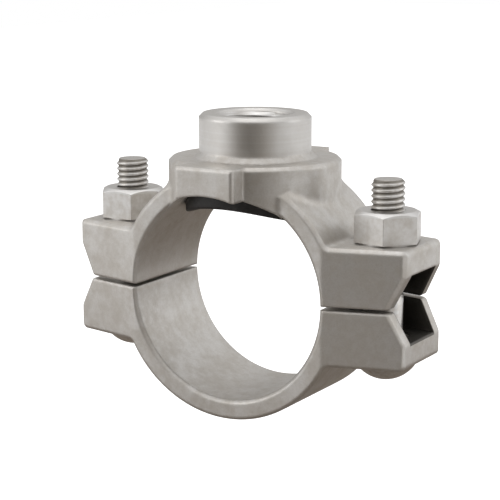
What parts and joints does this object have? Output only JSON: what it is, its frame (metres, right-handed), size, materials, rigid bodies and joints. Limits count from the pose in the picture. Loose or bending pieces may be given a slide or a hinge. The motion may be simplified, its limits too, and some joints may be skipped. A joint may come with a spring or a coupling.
{
  "type": "mechanical tee",
  "caption": "Bolted branch outlet: two cast half rings clamp round a pipe, and a threaded boss with a gasket under it takes the branch.",
  "frame": {"origin": "on the pipe's axis, in the plane of the split, in line with the outlet and the bolts", "axes": "+Z out of the outlet, Y along the pipe, the bolts stand at +X and -X"},
  "size_m": [0.1072, 0.058, 0.0867],
  "materials": {
    "cast_steel_upper": "blasted stainless casting, satin",
    "cast_steel_lower": "blasted stainless casting, satin",
    "gasket_rubber": "black moulded rubber, matt",
    "bolt_steel": "cold formed stainless, rolled thread",
    "nut_steel": "turned stainless, bright chamfers"
  },
  "bodies": {
    "upper_half": {"upper_housing": "cast_steel_upper", "outlet_gasket": "gasket_rubber"},
    "lower_half": {"lower_housing": "cast_steel_lower", "track_bolt_left": "bolt_steel", "track_bolt_right": "bolt_steel"},
    "nut_left": {"hex_nut_left": "nut_steel"},
    "nut_right": {"hex_nut_right": "nut_steel"}
  },
  "joints": [
    {"name": "nut_left_turn", "type": "hinge", "parent": "upper_half", "child": "nut_left", "pos_m": [-0.0424, 0, 0.0215], "axis": [0, 0, 1], "range_deg": [0, 1800]},
    {"name": "nut_right_turn", "type": "hinge", "parent": "upper_half", "child": "nut_right", "pos_m": [0.0424, 0, 0.0215], "axis": [0, 0, 1], "range_deg": [0, 1800]},
    {"name": "lower_half_drop", "type": "slide", "parent": "upper_half", "child": "lower_half", "axis": [0, 0, -1], "range_m": [0, 0.0079]}
  ],
  "couplings": [
    {"joint": "nut_left_turn", "follows": "lower_half_drop", "rad_per_m": 3957.9},
    {"joint": "nut_right_turn", "follows": "lower_half_drop", "rad_per_m": 3957.9}
  ]
}
